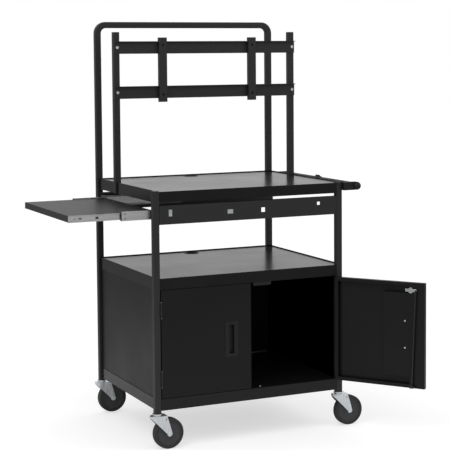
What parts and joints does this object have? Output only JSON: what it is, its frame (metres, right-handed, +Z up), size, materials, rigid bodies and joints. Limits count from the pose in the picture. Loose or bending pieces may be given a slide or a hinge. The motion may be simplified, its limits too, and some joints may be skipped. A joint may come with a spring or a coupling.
{
  "type": "flat panel cabinet cart",
  "caption": "Mobile display cart with tube frame, swivel casters, shelves, pull-out side tray, locking two-door cabinet and display mount.",
  "frame": {"origin": "on the floor, at the centre of the four posts", "axes": "+Z up, -Y out of the cabinet's front, +X towards the push handle"},
  "size_m": [1.334, 0.9761, 1.6375],
  "materials": {
    "black_powder_coat": "satin black powder coat",
    "black_plastic": "moulded black plastic",
    "wheel_plastic": "dark grey moulded plastic",
    "tyre_rubber": "dark grey rubber",
    "zinc_plate": "bright zinc plated pressed steel",
    "slide_steel": "zinc plated rolled steel",
    "lock_chrome": "bright chrome plate"
  },
  "bodies": {
    "cart": {"rear_frame": "black_powder_coat", "front_post_left": "black_powder_coat", "front_post_right": "black_powder_coat", "tube_caps": "black_plastic", "top_shelf": "black_powder_coat", "mid_shelf": "black_powder_coat", "cable_grommets": "black_plastic", "cabinet_floor": "black_powder_coat", "left_side_panel": "black_powder_coat", "right_side_panel": "black_powder_coat", "back_panel": "black_powder_coat", "front_rail": "black_powder_coat", "rear_rail": "black_powder_coat", "slide_brackets": "zinc_plate", "slide_outer_members": "slide_steel", "hinge_post_leaves": "black_powder_coat", "hinge_pins": "zinc_plate", "lock_strike": "black_powder_coat", "magnet_catch": "black_plastic", "handle_tube": "black_powder_coat", "handle_brackets": "black_plastic", "handle_hook": "black_plastic", "display_uprights": "black_powder_coat", "upright_brackets": "black_powder_coat", "mount_crossbars": "black_powder_coat", "mount_arms": "black_powder_coat", "mount_bolts": "zinc_plate", "caster_stems": "zinc_plate"},
    "left_door": {"left_door": "black_powder_coat", "left_door_pull": "black_plastic", "left_door_stiffener": "black_powder_coat", "left_door_leaves": "black_powder_coat"},
    "right_door": {"right_door": "black_powder_coat", "right_door_pull": "black_plastic", "right_door_stiffener": "black_powder_coat", "right_door_leaves": "black_powder_coat", "lock_cylinder": "lock_chrome", "rod_guide": "black_powder_coat"},
    "lock_cam": {"lock_cam": "lock_chrome"},
    "lock_rod": {"lock_rod": "black_powder_coat"},
    "tray": {"pull_out_tray": "black_powder_coat", "slide_inner_members": "slide_steel"},
    "slide_middle": {"slide_middle_members": "slide_steel", "slide_balls": "slide_steel"},
    "front_left_caster": {"front_left_fork": "zinc_plate", "front_left_axle": "zinc_plate"},
    "front_left_wheel": {"front_left_wheel": "wheel_plastic", "front_left_tyre": "tyre_rubber"},
    "front_right_caster": {"front_right_fork": "zinc_plate", "front_right_axle": "zinc_plate"},
    "front_right_wheel": {"front_right_wheel": "wheel_plastic", "front_right_tyre": "tyre_rubber"},
    "rear_left_caster": {"rear_left_fork": "zinc_plate", "rear_left_axle": "zinc_plate"},
    "rear_left_wheel": {"rear_left_wheel": "wheel_plastic", "rear_left_tyre": "tyre_rubber"},
    "rear_right_caster": {"rear_right_fork": "zinc_plate", "rear_right_axle": "zinc_plate"},
    "rear_right_wheel": {"rear_right_wheel": "wheel_plastic", "rear_right_tyre": "tyre_rubber"}
  },
  "joints": [
    {"name": "left_door_hinge", "type": "hinge", "parent": "cart", "child": "left_door", "pos_m": [-0.37965, -0.3258, 0.196], "axis": [0, 0, -1], "range_deg": [0, 175]},
    {"name": "right_door_hinge", "type": "hinge", "parent": "cart", "child": "right_door", "pos_m": [0.37965, -0.3258, 0.196], "axis": [0, 0, 1], "range_deg": [-127, 48]},
    {"name": "lock_turn", "type": "hinge", "parent": "right_door", "child": "lock_cam", "pos_m": [0.55406, -0.59813, 0.581], "axis": [0.7986, 0.6018, 0], "range_deg": [0, 90]},
    {"name": "lock_rod_slide", "type": "slide", "parent": "right_door", "child": "lock_rod", "axis": [-0.0236, 0.0313, -0.9992], "range_m": [0, 0.012]},
    {"name": "tray_slide", "type": "slide", "parent": "cart", "child": "tray", "axis": [1, 0, 0], "range_m": [0, 0.323]},
    {"name": "slide_middle_slide", "type": "slide", "parent": "cart", "child": "slide_middle", "axis": [1, 0, 0], "range_m": [0, 0.1615]},
    {"name": "front_left_swivel", "type": "hinge", "parent": "cart", "child": "front_left_caster", "pos_m": [-0.3938, -0.3103, 0.131], "axis": [0, 0, 1], "continuous": true},
    {"name": "front_left_roll", "type": "hinge", "parent": "front_left_caster", "child": "front_left_wheel", "pos_m": [-0.3508, -0.3103, 0.06], "axis": [0, 1, 0], "continuous": true},
    {"name": "front_right_swivel", "type": "hinge", "parent": "cart", "child": "front_right_caster", "pos_m": [0.3938, -0.3103, 0.131], "axis": [0, 0, 1], "continuous": true},
    {"name": "front_right_roll", "type": "hinge", "parent": "front_right_caster", "child": "front_right_wheel", "pos_m": [0.4368, -0.3103, 0.06], "axis": [0, 1, 0], "continuous": true},
    {"name": "rear_left_swivel", "type": "hinge", "parent": "cart", "child": "rear_left_caster", "pos_m": [-0.3938, 0.3103, 0.131], "axis": [0, 0, 1], "continuous": true},
    {"name": "rear_left_roll", "type": "hinge", "parent": "rear_left_caster", "child": "rear_left_wheel", "pos_m": [-0.3508, 0.3103, 0.06], "axis": [0, 1, 0], "continuous": true},
    {"name": "rear_right_swivel", "type": "hinge", "parent": "cart", "child": "rear_right_caster", "pos_m": [0.3938, 0.3103, 0.131], "axis": [0, 0, 1], "continuous": true},
    {"name": "rear_right_roll", "type": "hinge", "parent": "rear_right_caster", "child": "rear_right_wheel", "pos_m": [0.4368, 0.3103, 0.06], "axis": [0, 1, 0], "continuous": true}
  ],
  "couplings": [
    {"joint": "slide_middle_slide", "follows": "tray_slide", "ratio": 0.5},
    {"joint": "lock_turn", "follows": "lock_rod_slide", "rad_per_m": 130.89}
  ]
}
